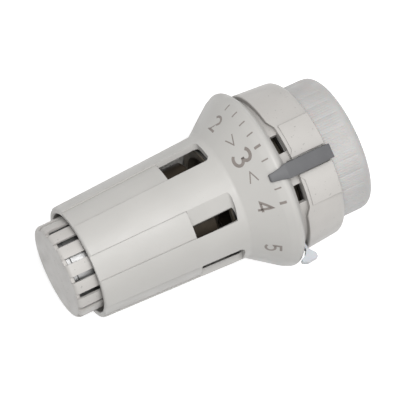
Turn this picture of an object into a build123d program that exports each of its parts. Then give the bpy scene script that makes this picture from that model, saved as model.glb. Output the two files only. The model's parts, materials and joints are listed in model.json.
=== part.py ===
from build123d import *
from math import cos, pi, radians, sin, sqrt, tan
import os

# Thermostatic radiator valve head, in millimetres.
# The origin is the centre of the union nut's mouth, and +X runs out of that mouth towards the
# valve that the head is screwed to. The setting pointer is at the top, +Z.
# A depth is a distance from the mouth into the head, so x = -depth. An angle is a turn about +X
# from +Z. The head is drawn at a setting a little past the middle of its scale.

# ---- driving sizes -------------------------------------------------------------------------
thread_minor_radius = 14.188  # M30 x 1.5 internal thread
thread_length = 8.4
nut_radius = 19.1
nut_mouth_drop = 0.5  # the nut tapers this much towards its mouth
nut_web = 2.3

axial_gap = 0.3  # between faces that turn or slide past each other
running_clearance = 0.06  # radial, between a shaft and its hole
ring_thickness = 1.0  # of the retaining C-rings

collar_length = 11.85
collar_bore_clearance = 0.4
collar_wall = 2.4
neck_over_nut = 2.2
neck_wall = 1.6
neck_length = 4.4
housing_web = 2.0
pad_radius_over_neck = 1.6

skirt_gap = 1.7  # between the collar's front edge and the handle
shoulder_over_neck = 3.8
dial_foot_radius = 17.8
dial_foot_from_skirt = 13.35
dial_top_from_skirt = 4.75
handle_length = 55.65
handle_taper = 1.9
handle_wall = 1.7
rim_lip = 1.8
panel_count = 6
panel_centre = 9.1
panel_half_angle = 13.2
panel_recess = 0.4
window_pull = -66.0  # the window cores pull straight out along this angle and its opposite
window_length = 12.4
boss_length = 7.8

cap_projection = 6.3
cap_gap = 1.0
cap_wall = 0.8
can_gap = 0.9
cap_face = 0.8
cap_slot_count = 16
cap_slot_width = 1.7
cap_slot_angle = 12.6
cap_slot_length = 23.5

thread_lead = 8.0  # axial travel of the sensor in one turn of the handle
thread_starts = 3
drive_pin_radius = 0.65
groove_width = 1.6
leg_angle = -20.5
leg_width = 4.4
leg_thickness = 1.2
handle_to_five = 55.9  # turn from the drawn setting to each end of the scale
handle_to_zero = 176.3

valve_pin_radius = 2.5
valve_pin_tip_depth = 9.0
push_rod_radius = 2.0
spring_wire = 1.0
spring_radius = 4.2
spring_turns = 5

limiter_slot_angle = 19.4
limiter_slot_half_angle = 7.1
clip_angles = {"limiter_clip_a": 72.0, "limiter_clip_b": 192.0}
clip_thickness = 2.0
clip_stem = 0.7

# ---- depths, worked out from the mouth inwards -----------------------------------------------
seat_depth = thread_length + 0.2
nut_ring_depth = seat_depth + 0.7
nut_web_depth = nut_ring_depth + ring_thickness + axial_gap
housing_web_depth = nut_web_depth + nut_web + axial_gap
guide_flange_depth = housing_web_depth + housing_web
guide_flange_top = guide_flange_depth + 1.5
sleeve_flange_depth = guide_flange_top + axial_gap
sleeve_flange_top = sleeve_flange_depth + 1.5
bearing_depth = sleeve_flange_top + axial_gap
bearing_top = bearing_depth + 1.2
collar_rear = nut_web_depth - 0.6
collar_front = collar_rear + collar_length
neck_end = collar_front + neck_length
skirt_edge = collar_front + skirt_gap
dial_top = skirt_edge + dial_top_from_skirt
dial_foot = skirt_edge + dial_foot_from_skirt
rim_depth = skirt_edge + handle_length
cap_face_depth = rim_depth + cap_projection
boss_top = dial_foot + 1.1
boss_depth = boss_top - boss_length
sleeve_top = boss_top + ring_thickness + 0.2
guide_top = boss_top - 1.0
window_depth = boss_top + 0.6
window_end = window_depth + window_length
drive_pin_depth = boss_top - 3.9
carrier_depth = window_end + 3.0
carrier_top = carrier_depth + 2.0
can_base_top = carrier_top + 1.0
can_top = cap_face_depth - 2.4
lid_top = cap_face_depth - 1.0
lead_per_radian = thread_lead / (2 * pi)

# ---- radii -------------------------------------------------------------------------------------
tail_radius = thread_minor_radius - 2.188
tail_bore = tail_radius - 3.0
neck_radius = nut_radius + neck_over_nut
neck_bore = neck_radius - neck_wall
collar_bore = nut_radius + collar_bore_clearance
collar_rear_radius = collar_bore + collar_wall
collar_front_radius = neck_radius + 1.5
pad_radius = neck_radius + pad_radius_over_neck
skirt_bore = neck_radius + 0.6
skirt_edge_radius = neck_radius + 1.9
shoulder_radius = neck_radius + shoulder_over_neck
dial_top_radius = shoulder_radius - 1.0
rim_radius = dial_foot_radius - handle_taper
body_slope = handle_taper / (rim_depth - dial_foot)
rim_bore = rim_radius - rim_lip
cap_radius = rim_bore - cap_gap
cap_bore = cap_radius - cap_wall
can_radius = cap_bore - can_gap
sleeve_radius = min(dial_foot_radius - 2.9, neck_bore - 4.8)  # inside the body and inside the neck
sleeve_bore = sleeve_radius - 2.34
sleeve_neck_radius = sleeve_radius - 0.7
groove_floor = sleeve_radius - 0.7
guide_radius = sleeve_bore - running_clearance
guide_bore = guide_radius - 2.3
leg_outer = guide_radius - 0.8
leg_inner = leg_outer - leg_thickness
boss_radius = sleeve_radius + 2.3
bearing_bore = sleeve_neck_radius + 0.4
cup_radius = spring_radius + 1.6
cup_bore = spring_radius + 1.0
bellows_outer = 7.6
bellows_inner = 5.0


def profile(corners):
    """Closed face of (depth, radius) corners; a third number rounds that corner."""
    points = [Vector(-corner[0], corner[1]) for corner in corners]
    arrivals, departures, edges = [], [], []
    for index, corner in enumerate(corners):
        here = points[index]
        if len(corner) == 2:
            arrivals.append(here)
            departures.append(here)
            continue
        back = (points[index - 1] - here).normalized()
        on = (points[(index + 1) % len(points)] - here).normalized()
        half = radians(back.get_angle(on)) / 2
        inward = (back + on).normalized()
        middle = here + inward * corner[2] * (1 / sin(half) - 1)
        arrivals.append(here + back * corner[2] / tan(half))
        departures.append(here + on * corner[2] / tan(half))
        edges.append(ThreePointArc(arrivals[-1], middle, departures[-1]))
    for index, start in enumerate(departures):
        end = arrivals[(index + 1) % len(arrivals)]
        if (end - start).length > 1e-6:
            edges.append(Line(start, end))
    return make_face(edges)


def turned(*corners):
    """Solid of revolution about the head's axis."""
    return revolve(profile(corners), Axis.X)


def ring(depth, top, inner, outer):
    """Plain ring between two depths."""
    return turned((depth, inner), (top, inner), (top, outer), (depth, outer))


def disc(depth, top, radius):
    """Plain disc or rod on the axis."""
    return turned((depth, 0), (top, 0), (top, radius), (depth, radius))


def around(angle, shape):
    """Shape drawn at the top, turned to its angle about the axis."""
    return Rot(X=angle) * shape


def sector(start, end, *corners):
    """Part of a turned solid between two angles."""
    return around(start + 90, revolve(profile(corners), Axis.X, end - start))


def block(depth, top, low, high, width):
    """Box at the top of the head, from radius low to radius high."""
    place = Pos(-(depth + top) / 2, 0, (low + high) / 2)
    return place * Box(top - depth, width, high - low)


def radial_pin(depth, radius, low, high):
    """Round pin that stands out from the axis, at the top of the head."""
    return Pos(-depth, 0, (low + high) / 2) * Cylinder(radius, high - low)


def spread(count, first=0.0):
    """Angles of a feature that repeats evenly round the axis."""
    return [first + 360 / count * index for index in range(count)]


def c_ring(depth, inner, outer, gap, angle=0.0):
    """Open retaining ring with a gap, in degrees, centred on an angle."""
    corners = [(depth, inner), (depth + ring_thickness, inner)]
    corners += [(depth + ring_thickness, outer), (depth, outer)]
    return sector(angle + gap / 2, angle + 360 - gap / 2, *corners)


def make_union_nut():
    """Captive nut: plain minor-diameter bore, relief, and the web that pulls the head down."""
    web_top = nut_web_depth + nut_web
    web_bore = tail_radius + running_clearance
    relief = thread_minor_radius + 0.8
    return turned(
        (0, thread_minor_radius),
        (thread_length, thread_minor_radius),
        (thread_length, relief),
        (nut_web_depth, relief),
        (nut_web_depth, web_bore),
        (web_top, web_bore),
        (web_top, nut_radius, 0.4),
        (2.5, nut_radius),
        (0, nut_radius - nut_mouth_drop, 1.9),
    )


def make_valve_guide():
    """Tail, flange and guide tube on one axis; the legs of the sensor carrier run in its slots."""
    web_top = guide_flange_top + 1.5
    guide = turned(
        (seat_depth, tail_bore),
        (housing_web_depth + 1.5, tail_bore),
        (housing_web_depth + 1.5, valve_pin_radius + running_clearance),
        (web_top, valve_pin_radius + running_clearance),
        (web_top, guide_bore, 0.8),
        (guide_top, guide_bore),
        (guide_top, guide_radius, 0.4),
        (guide_flange_top, guide_radius),
        (guide_flange_top, tail_radius + 3.0),
        (guide_flange_depth, tail_radius + 3.0),
        (guide_flange_depth, tail_radius + 1.0),
        (housing_web_depth, tail_radius + 1.0),
        (housing_web_depth, tail_radius),
        (nut_ring_depth + ring_thickness, tail_radius),
        (nut_ring_depth + ring_thickness, tail_radius - 0.6),
        (nut_ring_depth, tail_radius - 0.6),
        (nut_ring_depth, tail_radius),
        (seat_depth, tail_radius),
    )
    slot_end = drive_pin_depth - 1.6 - lead_per_radian * radians(handle_to_zero) - 0.6
    for angle in spread(thread_starts, leg_angle):
        slot_width = leg_width + 0.3
        guide -= around(angle, block(slot_end, guide_top + 1, guide_bore - 1, guide_radius + 1, slot_width))
    return guide


def make_base_housing():
    """Collar round the nut, and the neck that the handle turns on."""
    housing = turned(
        (collar_rear, collar_bore),
        (housing_web_depth, collar_bore),
        (housing_web_depth, tail_radius + 1.0),
        (guide_flange_depth, tail_radius + 1.0),
        (guide_flange_depth, neck_bore, 1.0),
        (bearing_top, neck_bore),
        (bearing_top, neck_bore + 0.6),
        (bearing_top + ring_thickness, neck_bore + 0.6),
        (bearing_top + ring_thickness, neck_bore),
        (neck_end, neck_bore),
        (neck_end, neck_radius, 0.4),
        (collar_front, neck_radius),
        (collar_front, collar_front_radius, 0.35),
        (collar_rear, collar_rear_radius, collar_wall - 0.1),
    )
    # a wide, shallow step in the collar's front edge, with sloping ends, gives room behind the pointer
    step = 1.1
    inner_y = collar_front_radius * sin(radians(30))
    outer_y = collar_front_radius * sin(radians(36))
    front = -collar_front
    outline = Polyline(
        (front - 1, outer_y), (front, outer_y), (front + step, inner_y),
        (front + step, -inner_y), (front, -outer_y), (front - 1, -outer_y), close=True
    )
    cut = Pos(0, 0, neck_radius / 2) * extrude(make_face(outline), neck_radius)
    housing -= cut - disc(0, rim_depth, neck_radius)
    # two raised pads beside the pointer, each with a narrow tongue that runs on along the pointer
    for side in (-1, 1):
        near = side * pad_radius * sin(radians(6))
        far = side * pad_radius * sin(radians(29.8))
        rear, pad_front = -(collar_rear + 1.0), -(collar_rear + 9.8)
        outline = Polyline(
            (rear, near), (rear, far), (pad_front, far), (pad_front, near + side * 1.9),
            (pad_front - 0.7, near + side * 0.9), (front + step, near + side * 0.9),
            (front + step, near), close=True
        )
        pad = Pos(0, 0, neck_bore / 2) * extrude(make_face(outline), pad_radius)
        shell = ring(collar_rear, collar_front, collar_bore + 1.0, pad_radius)
        housing += pad & shell
    # the stop rib carries on from the neck over the arc that the handle's lug never reaches
    rib_centre = clip_angles["limiter_clip_a"]
    rib_half = (360 - handle_to_five - handle_to_zero) / 2 - 5.6
    housing += sector(
        rib_centre - rib_half, rib_centre + rib_half,
        (neck_end - 0.5, neck_bore), (neck_end + 1.7, neck_bore),
        (neck_end + 1.7, neck_radius), (neck_end - 0.5, neck_radius),
    )
    # slots through the neck: two for limiter stops beside the pointer, one for each parked clip
    slot_rear = collar_front - step
    slot_width = 2 * neck_radius * sin(radians(limiter_slot_half_angle))
    for angle in (-limiter_slot_angle, limiter_slot_angle):
        slot = block(slot_rear + 0.02, collar_front + 1.35, neck_bore - 1, neck_radius + 0.02, slot_width)
        housing -= around(angle, slot)
    for angle in clip_angles.values():
        slot = block(collar_front + 0.02, collar_front + 1.6, neck_bore - 1, neck_radius + 0.3, clip_thickness + 0.5)
        housing -= around(angle, slot)
    # pocket for the pointer's foot
    housing -= block(collar_rear + 3.0, collar_rear + 9.0, collar_bore + 0.8, pad_radius + 1, 2.4)
    return housing


def make_pointer(housing):
    """Clip-on setting mark: a flat bar on the collar and a tip that slopes down over the dial."""
    rear = collar_rear + 0.7
    waist = rear + 2.0
    kink = collar_front + 2.6
    tip = dial_top + 0.8
    top = shoulder_radius + 1.1
    outline = []
    for side in (-1, 1):
        hollow = (-(kink + tip) / 2, side * 1.42)
        outline += [
            Polyline((-rear, side * 1.9), (-waist, side * 1.9), (-waist - 0.2, side * 2.05), (-kink, side * 2.05)),
            ThreePointArc((-kink, side * 2.05), hollow, (-tip + 0.4, side * 1.1)),
            ThreePointArc((-tip + 0.4, side * 1.1), (-tip + 0.12, side * 0.98), (-tip, side * 0.7)),
        ]
    outline += [Line((-rear, -1.9), (-rear, 1.9)), Line((-tip, -0.7), (-tip, 0.7))]
    bar = extrude(make_face(outline), top, both=True)
    side = profile([
        (rear, neck_radius - 1),
        (rear, top - 0.7, 0.5),
        (kink, top, 1.5),
        (tip, dial_top_radius + 0.75, 0.35),
        (tip, dial_top_radius - 0.1),
        (dial_top - 0.2, dial_top_radius + 0.4),
        (dial_top - 1.6, shoulder_radius + 0.3),
        (skirt_edge + 0.9, shoulder_radius + 0.3),
        (collar_front + 0.2, shoulder_radius - 0.9),
        (collar_front + 0.2, neck_radius - 1),
    ])
    bar &= Rot(X=90) * extrude(side, 5, both=True)
    foot = block(collar_rear + 3.1, collar_rear + 8.9, collar_bore + 0.9, top - 2, 2.2)
    return (bar - housing - disc(0, collar_front + 0.2, neck_radius)) + foot


def make_limiter_clip():
    """Thin stem that plugs into the neck, with a fan-shaped tab to pull it by."""
    middle = collar_front + 0.85
    low, high = middle - clip_stem / 2, middle + clip_stem / 2
    tab_inner = skirt_edge_radius + 0.3
    tab_outer = shoulder_radius + 1.8
    side = profile([
        (low, neck_bore - 1.6),
        (low, tab_inner),
        (low - 1.35, tab_outer - 1.6),
        (low - 1.35, tab_outer - 0.2, 0.5),
        (high + 1.0, tab_outer, 0.6),
        (high + 2.5, tab_outer - 0.7, 0.5),
        (high + 2.3, shoulder_radius + 0.35),
        (high + 0.9, shoulder_radius - 0.3),
        (high, tab_inner),
        (high, neck_bore - 1.6),
    ])
    return Rot(X=90) * extrude(side, clip_thickness / 2, both=True)


def make_nut_retaining_ring():
    return c_ring(nut_ring_depth, tail_radius - 0.6, thread_minor_radius - 0.7, 40)


def make_bearing_plate():
    """Ring that traps the drive sleeve's flange in the housing."""
    return ring(bearing_depth, bearing_top, bearing_bore, neck_bore)


def make_housing_snap_ring():
    return c_ring(bearing_top, neck_bore - 1.3, neck_bore + 0.6, 50, 180)


def window_core(centre):
    """Straight core that forms one window: the cores of each mould half pull the same way."""
    same_half = cos(radians(centre - window_pull)) > 0
    pull = window_pull if same_half else window_pull + 180
    offset = (centre - pull + 180) % 360 - 180
    outline, floors = [], []
    for depth in (window_depth, window_end):
        radius = dial_foot_radius - body_slope * (depth - dial_foot)
        inner = radius - handle_wall
        low = radius * sin(radians(offset - panel_half_angle))
        high = radius * sin(radians(offset + panel_half_angle))
        reach = max(-low, high)
        floors.append(sqrt(inner**2 - reach**2) - 0.5 if reach < inner else sqrt(radius**2 - reach**2) - 0.1)
        outline.append(((-depth, -low), (-depth, -high)))
    corner = min(1.3, 0.4 * (high - low))
    face = make_face(Polyline(outline[0][0], outline[0][1], outline[1][1], outline[1][0], close=True))
    face = fillet(face.vertices().group_by(Axis.X)[-1], corner)
    floor = min(floors)
    drop = 1.2 if high > inner else 0
    core = Pos(0, 0, floor - drop) * extrude(face, dial_foot_radius + 2 + drop, dir=(0, 0, 1))
    if drop:
        # an oblique core ends on a slope, which leaves the wall's far edge sharp at the outside
        slope = Polyline(
            (-high - 1, floor - 5), (-high - 1, floor), (-high, floor), (-low, floor - drop),
            (-low + 1, floor - drop), (-low + 1, floor - 5), close=True
        )
        core -= extrude(Plane.YZ * make_face(slope), rim_depth, both=True)
    return around(pull, core)


def make_handle_shell():
    """Numbered dial and tapered body in one thin-walled moulding, with a boss for the sleeve."""
    dial_slope = (dial_top_radius - dial_foot_radius) / (dial_foot - dial_top)
    inset = handle_wall * sqrt(1 + dial_slope**2)
    skirt_corner = dial_top + (dial_top_radius - inset - skirt_bore) / dial_slope
    boss_corner = dial_top + (dial_top_radius - inset - boss_radius) / dial_slope
    top_bore = dial_foot_radius - body_slope * (boss_top - dial_foot) - handle_wall
    lip_depth = rim_depth - rim_lip
    lip_bore = rim_radius + body_slope * rim_lip - handle_wall
    shell = turned(
        (skirt_edge, skirt_bore),
        (skirt_corner, skirt_bore),
        (boss_corner, boss_radius),
        (boss_depth, boss_radius),
        (boss_depth, sleeve_radius + 0.02),
        (boss_top, sleeve_radius + 0.02),
        (boss_top, top_bore),
        (lip_depth, lip_bore, 0.6),
        (rim_depth, rim_bore, 0.5),
        (rim_depth, rim_radius, 0.7),
        (dial_foot, dial_foot_radius, 1.5),
        (dial_top, dial_top_radius, 4.0),
        (collar_front + 3.5, shoulder_radius + 0.45, 1.6),
        (skirt_edge, skirt_edge_radius, 0.3),
    )
    # recessed panels from the rim to the windows
    for angle in spread(panel_count, panel_centre):
        end_radius = rim_radius + body_slope * (rim_depth - window_end)
        panel = sector(
            angle - panel_half_angle, angle + panel_half_angle,
            (window_end, end_radius - panel_recess), (rim_depth + 1, rim_radius - panel_recess),
            (rim_depth + 1, rim_radius + 2), (window_end, rim_radius + 4),
        )
        shell -= panel
    for angle in spread(panel_count, panel_centre):
        shell -= window_core(angle)
    # notches for the sleeve's keys
    for angle in spread(panel_count, panel_centre + 30):
        shell -= around(angle, block(boss_depth - 1, boss_top - 0.9, sleeve_radius - 0.5, sleeve_radius + 1.1, 3.2))
    # lug that meets the stop rib at each end of the scale
    lug_angle = clip_angles["limiter_clip_a"] + 180 + (handle_to_five - handle_to_zero) / 2
    lug_low, lug_high = neck_bore + 0.1, skirt_bore + 0.4
    shell += sector(
        lug_angle - 5, lug_angle + 5,
        (neck_end + 0.4, lug_low), (neck_end + 2.2, lug_low),
        (neck_end + 2.2, lug_high), (neck_end + 0.4, lug_high),
    )
    return shell


def helical_groove(pin_angle):
    """Groove for one drive pin; the pin moves towards the mouth as the handle turns to zero."""
    run_out = 5.0
    sweep_angle = handle_to_five + handle_to_zero + 2 * run_out
    first_angle = handle_to_five + run_out
    first_depth = drive_pin_depth + lead_per_radian * radians(first_angle)
    middle = (groove_floor + guide_radius - 0.4) / 2
    path = Helix(thread_lead, thread_lead * sweep_angle / 360, middle, lefthand=True)
    start = Plane(origin=(middle, 0, 0), x_dir=(1, 0, 0), z_dir=path % 0)
    section = start * Rectangle(groove_floor - guide_radius + 0.4, groove_width)
    groove = Rot(Y=90) * sweep(section, path, is_frenet=True)
    groove = Pos(-first_depth, 0, 0) * around(pin_angle + first_angle - 180, groove)
    entry = block(first_depth - 0.5, sleeve_top + 1, guide_radius - 0.4, groove_floor, groove_width + 0.3)
    return groove, around(pin_angle + first_angle, entry)


def make_drive_sleeve():
    """Sleeve that turns with the handle and drives the sensor in and out by its grooves."""
    shoulder = boss_depth - 1.2
    ring_groove = boss_top
    sleeve = turned(
        (sleeve_flange_depth, sleeve_bore),
        (sleeve_top, sleeve_bore),
        (sleeve_top, sleeve_radius, 0.3),
        (ring_groove + ring_thickness, sleeve_radius),
        (ring_groove + ring_thickness, sleeve_radius - 0.5),
        (ring_groove, sleeve_radius - 0.5),
        (ring_groove, sleeve_radius),
        (boss_depth, sleeve_radius),
        (boss_depth, sleeve_radius + 1.5),
        (shoulder, sleeve_radius + 1.5, 0.4),
        (shoulder, sleeve_neck_radius, 0.5),
        (sleeve_flange_top, sleeve_neck_radius),
        (sleeve_flange_top, sleeve_radius + 2.5),
        (sleeve_flange_depth, sleeve_radius + 2.5),
    )
    for angle in spread(panel_count, panel_centre + 30):
        sleeve += around(angle, block(boss_depth - 0.5, boss_top - 1, sleeve_radius - 0.6, sleeve_radius + 1.0, 3.0))
    for angle in spread(thread_starts, leg_angle):
        groove, entry = helical_groove(angle)
        sleeve -= groove
        sleeve -= entry
    return sleeve


def make_handle_snap_ring():
    return c_ring(boss_top, sleeve_radius - 0.5, sleeve_radius + 0.5, 30, 39)


def make_sensor_carrier():
    """Floor under the capsule, three legs that run in the guide and a drive pin on each leg."""
    carrier = ring(carrier_depth, carrier_top, push_rod_radius + running_clearance, cap_bore)
    leg_end = drive_pin_depth - 1.6
    # the skirt hides the legs and the spring from the windows, and stays clear of the sleeve at zero
    skirt_depth = sleeve_top + lead_per_radian * radians(handle_to_zero) + 0.4
    carrier += turned(
        (skirt_depth, leg_outer + 0.3),
        (carrier_depth - 0.9, leg_outer + 0.3),
        (carrier_depth - 0.9, cap_bore - 1),
        (carrier_depth + 0.3, cap_bore - 1),
        (carrier_depth + 0.3, cap_radius - 0.2),
        (skirt_depth, cap_radius - 0.2),
    )
    for angle in spread(thread_starts, leg_angle):
        leg = block(leg_end, carrier_depth + 1, leg_inner, leg_outer, leg_width)
        gusset = block(carrier_depth - 4, carrier_depth + 1, leg_inner - 2.5, leg_inner + 0.5, 1.4)
        pin = radial_pin(drive_pin_depth, drive_pin_radius, leg_outer - 0.6, groove_floor - 0.2)
        carrier += [around(angle, piece) for piece in (leg, gusset, pin)]
    for angle in spread(thread_starts, leg_angle + 60):
        lug = block(carrier_depth + 0.6, carrier_top - 0.5, cap_bore - 1, cap_bore + 0.7, 3.0)
        carrier += around(angle, lug)
    return carrier


def make_end_cap():
    """Ribbed cage over the capsule; air reaches the capsule through its slots."""
    low = carrier_depth + 0.3
    cap = turned(
        (low, cap_bore),
        (cap_face_depth - cap_face, cap_bore, 0.5),
        (cap_face_depth - cap_face, 0),
        (cap_face_depth, 0),
        (cap_face_depth, cap_radius, 1.15),
        (low, cap_radius, 0.3),
    )
    slot_low = cap_face_depth - cap_slot_length
    for angle in spread(cap_slot_count, cap_slot_angle):
        cap -= around(angle, block(slot_low, cap_face_depth + 1, cap_bore - 0.05, cap_radius + 1, cap_slot_width))
    for angle in spread(thread_starts, leg_angle + 60):
        cap -= around(angle, block(carrier_depth + 0.5, carrier_top - 0.4, cap_bore - 1, cap_radius + 1, 3.2))
    return cap


def make_sensor_can():
    """Drawn aluminium wall of the capsule."""
    wall = 0.6
    return turned(
        (can_base_top, can_radius - wall),
        (can_top, can_radius - wall),
        (can_top, can_radius, 0.25),
        (can_base_top, can_radius, 0.25),
    )


def make_can_lid():
    """Dished lid with a raised rim, crimped to the wall."""
    dish = can_top + 0.6
    return turned(
        (can_top, 0),
        (dish, 0),
        (dish, can_radius - 2.0, 0.3),
        (lid_top, can_radius - 1.5, 0.3),
        (lid_top, can_radius + 0.1, 0.4),
        (can_top, can_radius + 0.1, 0.2),
    )


def make_fill_stub():
    """Tube through which the capsule is filled, pinched shut."""
    return turned(
        (can_top + 0.6, 0),
        (lid_top, 0),
        (lid_top, 0.6, 0.2),
        (can_top + 0.6, 1.1),
    )


def bellows_depths():
    """Where the bellows starts and ends."""
    return can_base_top, can_base_top + 16.5


def make_bellows():
    """Corrugated tube inside the capsule."""
    start, end = bellows_depths()
    folds = 7
    wall = 0.35
    pitch = (end - start) / folds
    outer = []
    for index in range(folds):
        outer.append((start + pitch * index, bellows_inner + wall))
        outer.append((start + pitch * (index + 0.5), bellows_outer))
    outer.append((end, bellows_inner + wall))
    inner = [(depth, radius - wall) for depth, radius in reversed(outer)]
    return turned(*outer, *inner)


def make_bellows_plate():
    """Plate that closes the capsule round the foot of the bellows."""
    return ring(carrier_top, can_base_top, push_rod_radius + 1.0, can_radius)


def make_bellows_end_plate():
    end = bellows_depths()[1]
    return turned((end, 0), (end + 1, 0), (end + 1, bellows_outer - 0.4, 0.3), (end, bellows_outer - 0.4))


def cup_depths():
    """Mouth and closed end of the spring cup."""
    return carrier_depth - 14.0, carrier_depth - 2.0


def make_push_rod():
    """Rod that the bellows drives, pressed into the spring cup."""
    return disc(cup_depths()[1], bellows_depths()[1], push_rod_radius)


def make_spring_cup():
    """Cup for the safety spring, with a groove for its circlip."""
    mouth, end = cup_depths()
    groove = mouth + 0.6
    return turned(
        (mouth, cup_bore),
        (groove, cup_bore),
        (groove, cup_bore + 0.3),
        (groove + ring_thickness, cup_bore + 0.3),
        (groove + ring_thickness, cup_bore),
        (end - 1.2, cup_bore),
        (end - 1.2, 0),
        (end, 0),
        (end, cup_radius, 0.6),
        (mouth, cup_radius, 0.2),
    )


def make_cup_circlip():
    return c_ring(cup_depths()[0] + 0.6, cup_bore - 1.0, cup_bore + 0.3, 60)


def pin_head_depths():
    """Underside and top of the pressure pin's head, which rests on the circlip."""
    under = cup_depths()[0] + 0.6 + ring_thickness + 0.02
    return under, under + 1.5


def make_pressure_pin():
    """Pin that presses the valve's own pin; its head is held in the spring cup."""
    under, top = pin_head_depths()
    return turned(
        (valve_pin_tip_depth, 0),
        (top, 0),
        (top, cup_bore - running_clearance),
        (under, cup_bore - running_clearance),
        (under, valve_pin_radius),
        (valve_pin_tip_depth, valve_pin_radius, 0.4),
    )


def make_safety_spring():
    """Compression spring that gives way when the valve is shut and the sensor still expands."""
    start = pin_head_depths()[1] + spring_wire / 2
    end = cup_depths()[1] - 1.2 - spring_wire / 2
    path = Helix((end - start) / spring_turns, end - start, spring_radius)
    section = Plane(origin=path @ 0, z_dir=path % 0) * Circle(spring_wire / 2)
    return Pos(-end, 0, 0) * (Rot(Y=90) * sweep(section, path, is_frenet=True))


base_housing = make_base_housing()
nodes = {
    "union_nut": make_union_nut(),
    "nut_retaining_ring": make_nut_retaining_ring(),
    "valve_guide": make_valve_guide(),
    "base_housing": base_housing,
    "pointer": make_pointer(base_housing),
    "bearing_plate": make_bearing_plate(),
    "housing_snap_ring": make_housing_snap_ring(),
    "handle_shell": make_handle_shell(),
    "drive_sleeve": make_drive_sleeve(),
    "handle_snap_ring": make_handle_snap_ring(),
    "sensor_carrier": make_sensor_carrier(),
    "end_cap": make_end_cap(),
    "sensor_can": make_sensor_can(),
    "can_lid": make_can_lid(),
    "fill_stub": make_fill_stub(),
    "bellows": make_bellows(),
    "bellows_plate": make_bellows_plate(),
    "bellows_end_plate": make_bellows_end_plate(),
    "push_rod": make_push_rod(),
    "spring_cup": make_spring_cup(),
    "cup_circlip": make_cup_circlip(),
    "safety_spring": make_safety_spring(),
    "pressure_pin": make_pressure_pin(),
}
for clip_name, clip_angle in clip_angles.items():
    nodes[clip_name] = around(clip_angle, make_limiter_clip())

os.makedirs("parts", exist_ok=True)
for node_name, node_shape in nodes.items():
    export_step(node_shape, f"parts/{node_name}.step")
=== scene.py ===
# %% [markdown]
# The finish of a thermostatic radiator valve head
#
# The head comes apart into a fixed base with a union nut, a numbered handle, and a sensor
# capsule in a ribbed cage that moves in and out as the handle is turned. The frame below
# brings every one of those pieces in at its true size and place, so this lesson is about
# what is added to them: surfaces, print, thread and light.

# %% Load the frame
import bpy
import bmesh
import json
from math import cos, hypot, pi, radians, sin
from mathutils import Matrix, Vector
from mathutils.bvhtree import BVHTree


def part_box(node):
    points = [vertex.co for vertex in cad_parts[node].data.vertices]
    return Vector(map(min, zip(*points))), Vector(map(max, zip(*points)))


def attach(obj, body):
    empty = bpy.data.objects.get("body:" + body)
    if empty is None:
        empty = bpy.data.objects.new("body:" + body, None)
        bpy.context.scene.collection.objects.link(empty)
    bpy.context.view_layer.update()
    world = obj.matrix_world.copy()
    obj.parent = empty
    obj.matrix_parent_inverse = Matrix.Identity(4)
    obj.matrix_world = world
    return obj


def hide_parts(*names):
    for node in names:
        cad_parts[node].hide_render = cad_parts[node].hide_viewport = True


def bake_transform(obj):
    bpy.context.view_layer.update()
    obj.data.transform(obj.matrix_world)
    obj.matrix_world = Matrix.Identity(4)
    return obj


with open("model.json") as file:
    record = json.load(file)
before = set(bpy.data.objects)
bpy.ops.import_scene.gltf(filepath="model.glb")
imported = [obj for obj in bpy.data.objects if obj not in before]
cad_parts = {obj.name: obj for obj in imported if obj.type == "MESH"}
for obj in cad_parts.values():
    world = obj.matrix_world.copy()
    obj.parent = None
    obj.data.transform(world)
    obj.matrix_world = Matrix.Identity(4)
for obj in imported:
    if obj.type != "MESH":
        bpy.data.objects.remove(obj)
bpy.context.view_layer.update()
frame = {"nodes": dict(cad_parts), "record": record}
nodes = frame["nodes"]
MM = 0.001

# %% [markdown]
# The camera stands above the pointer, a little towards the sensor cap, and is rolled so
# that the head lies aslant. It stands far off with a long lens, because that keeps the
# taper of the body honest.

# %% Camera
head_tilt = radians(15.2)
camera_roll = radians(25.2)
camera_turn = radians(-3.4)
camera_distance = 797.9 * MM
middle_depth = 38.78
shift_along = 2.90
shift_sideways = 1.33

towards_cap = Vector((-1, 0, 0))
facing = Vector((0, -sin(camera_turn), cos(camera_turn)))
sideways = Vector((0, -cos(camera_turn), -sin(camera_turn)))
to_camera = sin(head_tilt) * towards_cap + cos(head_tilt) * facing
along = -cos(head_tilt) * towards_cap + sin(head_tilt) * facing
right = cos(camera_roll) * along + sin(camera_roll) * sideways
down = cos(camera_roll) * sideways - sin(camera_roll) * along
aim = Vector((-middle_depth, 0, 0)) * MM - shift_along * MM * along - shift_sideways * MM * sideways

camera_data = bpy.data.cameras.new("portrait_camera")
camera_data.lens = 270
camera_data.sensor_width = 36
camera_data.clip_start = 0.05
camera = bpy.data.objects.new("portrait_camera", camera_data)
camera.matrix_world = Matrix.Translation(aim + camera_distance * to_camera) @ Matrix(
    (right, -down, to_camera)
).transposed().to_4x4()
bpy.context.scene.collection.objects.link(camera)
bpy.context.scene.camera = camera
print("camera stands", round(camera_distance, 3), "m off, lens", camera_data.lens, "mm")

# %% [markdown]
# Every moulded piece gets the same kind of recipe, because every injection-moulded plastic
# has the same story: a slightly uneven colour from the melt, a fine grain from the etched
# mould, a few dark or pale specks in the resin, scuffs that change the gloss more than the
# colour, and edges that are never quite sharp. To that is added painted shade: the colour is
# darkened in seams, where light falls less. An image could be wrapped round each piece, but
# clouds, specks and grain computed from the piece's own coordinates need no unwrapping and
# stay put when it moves. Only the painted shade in the seams looks at what lies close by.
# First come the small helpers that the recipe is put together from.

# %% Helpers for shader nodes
def add_node(tree, kind, **settings):
    """A shader node; a setting is one of its properties."""
    node = tree.nodes.new(kind)
    for key, value in settings.items():
        setattr(node, key, value)
    return node


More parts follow.
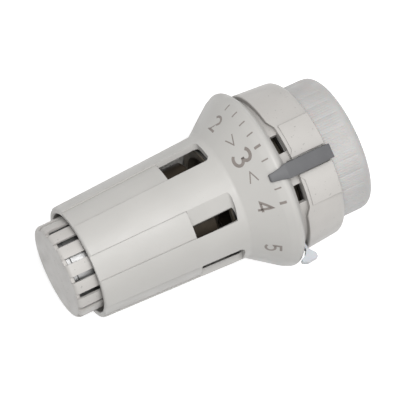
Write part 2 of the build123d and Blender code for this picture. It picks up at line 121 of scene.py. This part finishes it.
def noise(tree, coords, size_mm, detail=2.0, stretch=(1, 1, 1)):
    """Noise whose blotches are about size_mm across, longer where stretch is under 1."""
    place = add_node(tree, "ShaderNodeMapping")
    place.inputs["Scale"].default_value = [value / (size_mm * MM) for value in stretch]
    tree.links.new(coords, place.inputs["Vector"])
    node = add_node(tree, "ShaderNodeTexNoise")
    node.inputs["Scale"].default_value = 1.0
    node.inputs["Detail"].default_value = detail
    tree.links.new(place.outputs["Vector"], node.inputs["Vector"])
    return node.outputs["Fac"]


def remap(tree, value, low, high, out_low, out_high):
    """The value's range low..high becomes out_low..out_high."""
    node = add_node(tree, "ShaderNodeMapRange")
    for key, number in (("From Min", low), ("From Max", high), ("To Min", out_low), ("To Max", out_high)):
        node.inputs[key].default_value = number
    tree.links.new(value, node.inputs["Value"])
    return node.outputs["Result"]


def blend_colours(tree, factor, first, second):
    """Colour between first and second; each is a colour or another node's output."""
    node = add_node(tree, "ShaderNodeMix", data_type="RGBA")
    tree.links.new(factor, node.inputs["Factor"])
    for socket, colour in ((node.inputs[6], first), (node.inputs[7], second)):
        if isinstance(colour, bpy.types.NodeSocket):
            tree.links.new(colour, socket)
        else:
            socket.default_value = (*colour, 1)
    return node.outputs[2]


print("helpers:", ", ".join(helper.__name__ for helper in (add_node, noise, remap, blend_colours)))

# %% [markdown]
# The recipe itself goes from large to small: clouds in the colour, specks, painted shade in
# the seams, scuffs in the gloss, grain as a bump, and a softened edge. Each finish is then one
# call with its own numbers, which keeps the whole head looking like one maker's work.

# %% A recipe for surfaces
# Painted shade in seams: how dark the colour gets where other surfaces lie close.
PAINTED_SEAM_SHADE = 0.42  # share of the colour that is left deep in a seam
SPECK_FADE = 0.06  # how softly a speck's edge runs out
SCUFF_MM = 3.0


def surface(name, colour, variation=0.03, cloud_mm=14, grain_mm=0.35, grain_depth_mm=0.004,
            gloss=(0.38, 0.5), speck=None, speck_mm=0.5, speck_amount=0.68, stretch=(1, 1, 1),
            edge_mm=0.0, painted_shade_mm=0.0, **shader_values):
    """Procedural finish: clouded colour, specks, painted shade in seams, grain, and gloss that scuffs have
    changed.
    """
    material = bpy.data.materials.new(name)
    material.use_nodes = True
    tree = material.node_tree
    shader = tree.nodes["Principled BSDF"]
    coords = add_node(tree, "ShaderNodeTexCoord").outputs["Object"]
    clouds = remap(tree, noise(tree, coords, cloud_mm, 3), 0.3, 0.7, 0, 1)
    darker = [value * (1 - variation) for value in colour]
    lighter = [min(1, value * (1 + variation)) for value in colour]
    tint = blend_colours(tree, clouds, darker, lighter)
    if speck:
        spots = noise(tree, coords, speck_mm, 1)
        spots = remap(tree, spots, speck_amount, speck_amount + SPECK_FADE, 0, 0.75)
        tint = blend_colours(tree, spots, tint, speck)
    # Painted shade: an ambient occlusion node darkens the colour in seams and corners, where other surfaces
    # lie close.
    if painted_shade_mm:
        corners = add_node(tree, "ShaderNodeAmbientOcclusion", samples=6)
        corners.inputs["Distance"].default_value = painted_shade_mm * MM
        shade = remap(tree, corners.outputs["AO"], 0.0, 0.75, 0.0, 1.0)
        tint = blend_colours(tree, shade, [value * PAINTED_SEAM_SHADE for value in colour], tint)
    tree.links.new(tint, shader.inputs["Base Color"])
    scuffs = noise(tree, coords, SCUFF_MM, 4, (0.35, 1, 1))
    tree.links.new(remap(tree, scuffs, 0.35, 0.65, *gloss), shader.inputs["Roughness"])
    bump = add_node(tree, "ShaderNodeBump")
    bump.inputs["Strength"].default_value = 1.0
    bump.inputs["Distance"].default_value = grain_depth_mm * MM
    tree.links.new(noise(tree, coords, grain_mm, 2, stretch), bump.inputs["Height"])
    if edge_mm:
        soft = add_node(tree, "ShaderNodeBevel", samples=4)
        soft.inputs["Radius"].default_value = edge_mm * MM
        tree.links.new(soft.outputs["Normal"], bump.inputs["Normal"])
    tree.links.new(bump.outputs["Normal"], shader.inputs["Normal"])
    for key, value in shader_values.items():
        shader.inputs[key.replace("_", " ")].default_value = value
    return material


print("recipe: grain", surface.__defaults__[2], "mm across unless a finish says otherwise")

# %% [markdown]
# The cover parts are white pigmented plastic, so they are pale and satin. The nut is the
# same family without so much pigment, so light goes a little way into it. The capsule is
# drawn aluminium, with its grain running round it. The inner frame and the sleeve carry
# painted shade: both are coloured dark brown-black, though the record names the sleeve
# natural plastic, so that only dark glimpses of them show through the windows.

# %% Finishes
WHITE = (0.56, 0.548, 0.525)
# The collar and the dial carry painted shade: their colour is darkened within 2.2 mm of a seam.
finishes = {
    "white_plastic": surface("collar_plastic", (0.575, 0.555, 0.53), 0.035, 9, speck=(0.36, 0.35, 0.33),
                             speck_mm=0.65, speck_amount=0.71, grain_depth_mm=0.006, edge_mm=0.22,
                             painted_shade_mm=2.2),
    "dial_plastic": surface("dial_plastic", WHITE, 0.03, 16, speck=(0.45, 0.44, 0.42), speck_mm=0.3,
                            speck_amount=0.74, edge_mm=0.22, painted_shade_mm=2.2),
    "clip_plastic": surface("clip_plastic", (0.60, 0.62, 0.65), 0.03, 4, gloss=(0.3, 0.42), edge_mm=0.25,
                            Subsurface_Weight=0.15, Subsurface_Scale=0.001),
    "nut_plastic": surface("nut_plastic", (0.53, 0.52, 0.51), 0.06, 6, grain_mm=0.3, gloss=(0.34, 0.48),
                           Subsurface_Weight=0.12, Subsurface_Scale=0.001),
    "pointer_plastic": surface("pointer_plastic", (0.135, 0.136, 0.141), 0.06, 5, grain_mm=0.3,
                               grain_depth_mm=0.006, gloss=(0.42, 0.55), edge_mm=0.3),
    # Painted shade in the next two finishes: the sleeve, natural plastic in the record, is coloured dark
    # brown and the frame near black, so that the window interiors look shaded.
    "natural_plastic": surface("sleeve_painted_shade", (0.13, 0.112, 0.085), 0.08, 5, gloss=(0.5, 0.65),
                               edge_mm=0.15),
    "frame_plastic": surface("frame_plastic", (0.040, 0.030, 0.019), 0.2, 4, speck=(0.06, 0.05, 0.035),
                             speck_mm=0.35, gloss=(0.55, 0.75), edge_mm=0.15),
    "capsule_aluminium": surface("capsule_aluminium", (0.40, 0.40, 0.40), 0.12, 3, 0.12, 0.006, (0.3, 0.48),
                                 stretch=(1, 0.06, 0.06), Metallic=1.0),
    "spring_steel": surface("spring_steel", (0.23, 0.225, 0.22), 0.15, 1.5, 0.2, 0.004, (0.35, 0.5),
                            Metallic=1.0),
    "bright_steel": surface("bright_steel", (0.55, 0.55, 0.56), 0.06, 2, 0.15, 0.003, (0.18, 0.32),
                            stretch=(1, 0.08, 0.08), Metallic=1.0),
    "bellows_brass": surface("bellows_brass", (0.60, 0.44, 0.19), 0.12, 2, 0.2, 0.004, (0.25, 0.4),
                             Metallic=1.0),
}
PRINT_INK = surface("dial_print", (0.265, 0.235, 0.215), 0.08, 1.5, 0.2, 0.002, (0.45, 0.6),
                    speck=(0.33, 0.31, 0.30), speck_mm=0.18, speck_amount=0.64)
for row in frame["record"]["subparts"]:
    mesh = nodes[row["node"]].data
    mesh.materials.clear()
    mesh.materials.append(finishes[row["material_slot"]])
print("finishes:", len(finishes), "on", len(nodes), "nodes")

# %% [markdown]
# New pieces are made as plain lists of corners and faces. A depth is measured from the
# nut's mouth into the head, and an angle is a turn about the axis from the pointer.

# %% From numbers to meshes
def point(depth, radius, angle):
    """Place of a depth and a radius in millimetres, at an angle in radians."""
    return Vector((-depth, -radius * sin(angle), radius * cos(angle))) * MM


def piece(name, corners, faces, body, material, smooth_angle=35):
    """Mesh object that rides on a body and takes the finish it is given."""
    mesh = bpy.data.meshes.new(name)
    mesh.from_pydata(corners, [], faces)
    shape = bmesh.new()
    shape.from_mesh(mesh)
    bmesh.ops.recalc_face_normals(shape, faces=shape.faces)
    shape.to_mesh(mesh)
    shape.free()
    mesh.materials.append(material)
    mesh.shade_smooth()
    mesh.set_sharp_from_angle(angle=radians(smooth_angle))
    made = bpy.data.objects.new(name, mesh)
    bpy.context.scene.collection.objects.link(made)
    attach(made, body)
    return made


print("a point 10 mm in, under the pointer:", [round(value, 3) for value in point(10, 20, 0)])

# %% [markdown]
# The union nut is tightened by hand, so its outside is knurled: fine teeth all round, with
# a shallow wide flute every so often. Its inside carries the M30 x 1.5 thread, one turn for
# each 1.5 mm of depth. Nut, teeth and thread are one closed skin: rings of corners that
# follow the section from the mouth, through the thread, round the back and home again.

# %% Thread and grip
THREAD_PITCH = 1.5
THREAD_MINOR = 14.19
THREAD_DEPTH = 0.78
THREAD_END = 8.4
NUT_RADIUS = 19.08
TEETH = 168
FLUTES = 28
SPOKES = TEETH * 6


def thread_radius(depth, angle):
    """Internal thread: flat crests, sloping flanks, run-out at both ends."""
    phase = (depth / THREAD_PITCH - angle / (2 * pi)) % 1
    flank = min(1, max(0, (abs(phase - 0.5) - 0.14) / 0.26))
    fade = min(1, max(0, (depth - 0.25) / 0.5), max(0, (THREAD_END - 0.1 - depth) / 0.5))
    return THREAD_MINOR + THREAD_DEPTH * (1 - flank) * max(0, fade)


def grip_radius(depth, angle):
    """Outside: teeth and flutes that fade into a smooth band at the mouth."""
    start = min(1, max(0, (depth - 2.3) / 0.6))
    end = min(1, max(0, (12.6 - depth) / 0.4))
    tooth = 0.5 + 0.5 * cos(TEETH * angle)
    flute = 0.5 + 0.5 * cos(FLUTES * angle)
    return NUT_RADIUS - 0.1 * max(0, 2.5 - depth) / 0.5 - start * end * (0.05 * tooth + 0.12 * flute**8)


def plain(radius):
    """A ring that is truly round."""
    return lambda depth, angle: radius


print("thread:", THREAD_PITCH, "mm pitch, roots at", round(THREAD_MINOR + THREAD_DEPTH, 2), "mm radius")

# %% [markdown]
# The section is a walk round the nut's wall: in along the thread, out to the relief that
# clears the retaining ring, in again to the bore over the tail, round the back edge, along
# the grip, and over the rounded mouth. A lathe would cut it in much the same order.

# %% Section of the nut
RELIEF_RADIUS = 14.98
RELIEF_END = 10.6
TAIL_BORE = 12.07
NUT_LENGTH = 12.9
MOUTH_ROUND = 2.0
MOUTH_STEPS = 8
rings = [(index * 0.12 if index else 0.0, thread_radius) for index in range(70)]
rings += [(THREAD_END, plain(THREAD_MINOR)), (THREAD_END, plain(RELIEF_RADIUS))]
rings += [(RELIEF_END, plain(RELIEF_RADIUS)), (RELIEF_END, plain(TAIL_BORE))]
rings += [(NUT_LENGTH, plain(TAIL_BORE)), (NUT_LENGTH, plain(18.65))]
rings += [(12.78, plain(18.95)), (12.5, plain(19.06))]
rings += [(depth, grip_radius) for depth in (12.2, 11.8, 9.5, 7.0, 4.5, 3.2, 2.8, 2.4)]
for step in range(MOUTH_STEPS + 1):
    turn = radians(90 * step / MOUTH_STEPS)
    rings.append((MOUTH_ROUND * (1 - sin(turn)), plain(18.98 - MOUTH_ROUND * (1 - cos(turn)))))
rings += [(0.0, plain(14.6))]
print("section:", len(rings), "rings, the deepest at", max(depth for depth, law in rings), "mm")

# %% [markdown]
# Each ring is swept once round the axis, and neighbours are joined with four-sided faces. The
# last ring joins the first, so the skin is closed and has an inside, as real material has.

# %% Skin of the nut
nut_corners = []
for depth, law in rings:
    for spoke in range(SPOKES):
        angle = 2 * pi * spoke / SPOKES
        nut_corners.append(point(depth, law(depth, angle), angle))
nut_faces = []
for ring_index in range(len(rings)):
    here, there = ring_index * SPOKES, (ring_index + 1) % len(rings) * SPOKES
    for spoke in range(SPOKES):
        on = (spoke + 1) % SPOKES
        nut_faces.append((here + spoke, here + on, there + on, there + spoke))
nut = piece("union_nut_knurled", nut_corners, nut_faces, "nut", finishes["nut_plastic"], 50)
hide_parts("union_nut")
print("nut:", len(rings), "rings of", SPOKES, "corners")

# %% [markdown]
# The pointer is a small dark clip whose long edges were broken in the mould. Its flat faces
# are joined up first, because a bevel needs clean edges, and then every hard edge along an
# upward face is cut back by a fraction of a millimetre, inside the outline that it already had.

# %% Pointer with broken edges
EDGE_BREAK = 0.42 * MM
pointer_shape = bmesh.new()
pointer_shape.from_mesh(nodes["pointer"].data)
bmesh.ops.remove_doubles(pointer_shape, verts=pointer_shape.verts, dist=0.002 * MM)
bmesh.ops.dissolve_limit(pointer_shape, angle_limit=radians(2), verts=pointer_shape.verts,
                         edges=pointer_shape.edges)
top_edges = [
    edge for edge in pointer_shape.edges
    if len(edge.link_faces) == 2 and edge.calc_face_angle(0) > radians(50)
    and max(face.normal.z for face in edge.link_faces) > 0.6
]
bmesh.ops.bevel(pointer_shape, geom=top_edges, offset=EDGE_BREAK, segments=2, profile=0.5,
                affect="EDGES", clamp_overlap=True)
bmesh.ops.triangulate(pointer_shape, faces=pointer_shape.faces)
pointer_corners = [vertex.co.copy() for vertex in pointer_shape.verts]
pointer_faces = [tuple(vertex.index for vertex in face.verts) for face in pointer_shape.faces]
pointer_shape.free()
pointer = piece("pointer_bevelled", pointer_corners, pointer_faces, "base", finishes["pointer_plastic"])
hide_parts("pointer")
print("pointer:", len(top_edges), "edges broken,", len(pointer_faces), "faces")

# %% [markdown]
# The dial is printed: figures from the frost sign and 0 round to 5, small arrowheads beside
# the 3, and ticks along the shoulder. Ink has a thickness of its own, so each stroke is a
# thin strip that follows the cone. A ray dropped on the handle finds the cone's surface.

# %% Feeling for the cone
handle_mesh = nodes["handle_shell"].data
handle_tree = BVHTree.FromPolygons([vertex.co for vertex in handle_mesh.vertices],
                                   [face.vertices for face in handle_mesh.polygons])
DIGIT_DEPTH = 32.2


def dial_radius(depth, angle):
    """Radius of the handle's surface in millimetres."""
    start = point(depth, 30, angle)
    hit = handle_tree.ray_cast(start, point(depth, 0, angle) - start)[0]
    return hypot(hit.y, hit.z) / MM


def dial_slope(depth, angle):
    """How far the radius falls per millimetre of depth."""
    return (dial_radius(depth - 0.4, angle) - dial_radius(depth + 0.4, angle)) / 0.8


print("dial is", round(dial_radius(DIGIT_DEPTH, 0), 2), "mm in radius at its figures")

# %% [markdown]
# A stroke has four corners at each stop: two sunk into the plastic and two just proud of it.
# A flat decal would flicker against the surface or cut through it, and this can do neither.
# At a bend the strip is widened a little, so that its width looks the same all along.

# %% One stroke of ink
INK_LIFT = 0.02
INK_ROOT = 0.06


def ink_strip(corners, faces, path, width, centre_depth, centre_angle):
    """One stroke: path is (right, up) in millimetres, from the middle of its glyph."""
    slope = dial_slope(centre_depth, centre_angle)
    shorten = 1 / hypot(1, slope)
    centre_radius = dial_radius(centre_depth, centre_angle)
    closed = path[0] == path[-1]
    if closed:
        path = path[:-1]
    first = len(corners)
    count = len(path)
    for index, (across, up) in enumerate(path):
        back = path[index - 1] if index or closed else path[index]
        on = path[(index + 1) % count] if index < count - 1 or closed else path[index]
        inward = Vector((across - back[0], up - back[1])).normalized() if back != path[index] else None
        outward = Vector((on[0] - across, on[1] - up)).normalized() if on != path[index] else None
        run = ((inward or outward) + (outward or inward)).normalized()
        stretch = 1 / max(0.5, run.dot(outward or inward))
        side = Vector((-run.y, run.x)) * width / 2 * stretch
        for sign, lift in ((-1, -INK_ROOT), (-1, INK_LIFT), (1, INK_LIFT), (1, -INK_ROOT)):
            depth = centre_depth - (up + sign * side.y) * shorten
            angle = centre_angle + (across + sign * side.x) / centre_radius
            corners.append(point(depth, dial_radius(depth, angle) + lift / shorten, angle))
    for index in range(count if closed else count - 1):
        here, there = first + 4 * index, first + 4 * ((index + 1) % count)
        for edge in range(4):
            near = (edge + 1) % 4
            faces.append((here + edge, here + near, there + near, there + edge))
    if not closed:
        faces.append(tuple(first + edge for edge in (3, 2, 1, 0)))
        faces.append(tuple(first + 4 * (count - 1) + edge for edge in range(4)))


print("ink stands", INK_LIFT, "mm proud and is rooted", INK_ROOT, "mm deep")

# %% [markdown]
# A font would bring its own style. The figures on a head like this are plain and rounded, so
# each is drawn from straight runs and parts of ellipses, measured from the figure's middle.

# %% Figures from lines and arcs
def straight(*stops, step=0.35):
    """Line through some stops, in short steps so that it can follow the cone."""
    path = [stops[0]]
    for start, end in zip(stops, stops[1:]):
        parts = max(1, round(hypot(end[0] - start[0], end[1] - start[1]) / step))
        path += [tuple(a + (b - a) * k / parts for a, b in zip(start, end))
                 for k in range(1, parts + 1)]
    return path


def arc(across, up, half_width, half_height, start, end, parts=16):
    """Part of an ellipse; angles in degrees, anticlockwise from the right."""
    turns = [radians(start + (end - start) * k / parts) for k in range(parts + 1)]
    return [(across + half_width * cos(turn), up + half_height * sin(turn)) for turn in turns]


def glyph(sign, width, height):
    """Centre lines of one figure."""
    w, h = width / 2, height / 2
    upper, lower = h * 0.54, h * 0.46
    if sign == "0":
        oval = arc(0, 0, w, h, 0, 360, 28)
        return [oval[:-1] + oval[:1]]
    if sign == "1":
        return [straight((-0.55 * w, 0.55 * h), (0.1 * w, h), (0.1 * w, -h))]
    if sign == "2":
        return [arc(0, lower, w * 0.9, upper, 160, -35, 14) + straight((-w * 0.95, -h), (w, -h))]
    if sign == "3":
        top = arc(-0.12 * w, 0.5 * h, 0.92 * w, 0.5 * h, 150, -82, 14)
        bottom = arc(-0.12 * w, -0.47 * h, 1.05 * w, 0.53 * h, 85, -148, 16)
        return [top, bottom]
    if sign == "4":
        return [straight((0.45 * w, -h), (0.45 * w, h), (-w, -0.4 * h), (w, -0.4 * h))]
    if sign == "5":
        return [straight((0.85 * w, h), (-0.6 * w, h), (-0.72 * w, 0.12 * h))
                + arc(-0.1 * w, -0.36 * h, w, 0.62 * h, 118, -140, 16)]
    if sign == ">":
        return [straight((-w, h), (w, 0), (-w, -h))]
    if sign == "<":
        return [straight((w, h), (-w, 0), (w, -h))]
    spokes = [(w * cos(radians(turn)), h * sin(radians(turn))) for turn in (30, 90, 150)]
    return [straight(spoke, (-spoke[0], -spoke[1])) for spoke in spokes]


print("the frost sign has", len(glyph("*", 2, 2)), "strokes")

# %% [markdown]
# The settings stand at equal turns round the dial, as the screw inside is even. Nine ticks
# run along the shoulder from the 2 to the 4, and those at the 3 and the 4 are bolder. All
# the print is one piece on the handle, so it turns with it.

# %% Printed scale
UNIT = 38.7
THREE_AT = -21.5
TICK_DEPTH = 27.98
TICK_HALF = 0.95
GLYPH_SIZES = {"3": (3.5, 5.1, 0.9), ">": (2.9, 2.5, 0.34), "<": (2.9, 2.5, 0.34)}
PLAIN_SIZE = (2.85, 4.1, 0.68)
ink_corners, ink_faces = [], []
signs = [("*", -3), ("0", -4), ("1", -2), ("2", -1), (">", -0.4), ("3", 0), ("<", 0.4), ("4", 1), ("5", 2)]
for sign, place in signs:
    width, height, stroke = GLYPH_SIZES.get(sign, PLAIN_SIZE)
    for path in glyph(sign, width, height):
        ink_strip(ink_corners, ink_faces, path, stroke, DIGIT_DEPTH, radians(THREE_AT + place * UNIT))
for step in range(9):
    bold = step in (4, 8)
    tick = straight((0, -TICK_HALF), (0, TICK_HALF))
    tick_angle = radians(THREE_AT - UNIT + step * UNIT / 4)
    ink_strip(ink_corners, ink_faces, tick, 0.75 if bold else 0.4, TICK_DEPTH, tick_angle)
piece("dial_print", ink_corners, ink_faces, "handle", PRINT_INK)
print("print:", len(ink_faces), "faces in", len(signs), "signs and 9 ticks")

# %% [markdown]
# Two hidden pieces change length as the head works: the bellows, when the liquid round it
# swells, and the safety spring, when the valve is shut and the rod still pushes. Each is
# carried over as a plain copy of its node, baked in place, and the node is hidden.

# %% Copies of the pieces that flex
def flexing(name, node):
    """Copy of a node, baked in place; the node itself is hidden."""
    made = bpy.data.objects.new(name, nodes[node].data.copy())
    bpy.context.scene.collection.objects.link(made)
    made.matrix_world = nodes[node].matrix_world
    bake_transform(made)
    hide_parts(node)


for name, node, slot, bodies, far_first in (
    ("bellows_flexing", "bellows", "bellows_brass", ("sensor", "rod"), False),
    ("safety_spring_flexing", "safety_spring", "spring_steel", ("rod", "valve_pin"), True),
):
    flexing(name, node)

# %% [markdown]
# The background is a light table: a pale floor that glows a little, so it stays white
# without flooding the head. It lies just under the lowest piece, so the head rests on it.

# %% Floor
FLOOR_HALF = 4  # metres
FLOOR_GAP = 0.0002
lowest = min(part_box(name)[0].z for name in nodes)
floor_mesh = bpy.data.meshes.new("studio_floor")
floor_corners = [(x * FLOOR_HALF, y * FLOOR_HALF, 0) for x, y in ((-1, -1), (1, -1), (1, 1), (-1, 1))]
floor_mesh.from_pydata(floor_corners, [], [(0, 1, 2, 3)])
floor = bpy.data.objects.new("studio_floor", floor_mesh)
floor.location.z = lowest - FLOOR_GAP
bpy.context.scene.collection.objects.link(floor)
floor_paint = surface("floor_paint", (0.85, 0.85, 0.85), 0.01, 60, 2.0, 0.002, (0.6, 0.7))
floor_paint.node_tree.nodes["Principled BSDF"].inputs["Emission Color"].default_value = (1, 1, 1, 1)
floor_paint.node_tree.nodes["Principled BSDF"].inputs["Emission Strength"].default_value = 0.55
floor_mesh.materials.append(floor_paint)
floor.visible_diffuse = False
print("floor at", round(floor.location.z / MM, 1), "mm")

# %% [markdown]
# Satin plastic shows its shape by wide, soft highlights, so the light comes from large
# squares and not from points. The key softbox stands near the camera and gives the long
# highlights, a weaker one fills the nut's side, and a dim white surround lifts the rest.

# %% Light
world = bpy.data.worlds.new("soft_studio")
world.use_nodes = True
world.node_tree.nodes["Background"].inputs["Color"].default_value = (1, 1, 1, 1)
world.node_tree.nodes["Background"].inputs["Strength"].default_value = 0.42
bpy.context.scene.world = world
bpy.context.scene.view_settings.view_transform = "Standard"


def add_softbox(name, direction, distance, size, power):
    """An area light that looks at the middle of the head."""
    data = bpy.data.lights.new(name, "AREA")
    data.shape = "SQUARE"
    data.size = size
    data.energy = power
    lamp = bpy.data.objects.new(name, data)
    place = aim + direction.normalized() * distance
    lamp.matrix_world = Matrix.Translation(place) @ direction.to_track_quat("Z", "Y").to_matrix().to_4x4()
    bpy.context.scene.collection.objects.link(lamp)


add_softbox("key_softbox", to_camera - 0.12 * down + 0.12 * right, 0.6, 0.3, 2.45)
add_softbox("fill_softbox", to_camera + 0.9 * right + 0.5 * down, 0.7, 0.4, 0.5)
print("softboxes: key and fill")
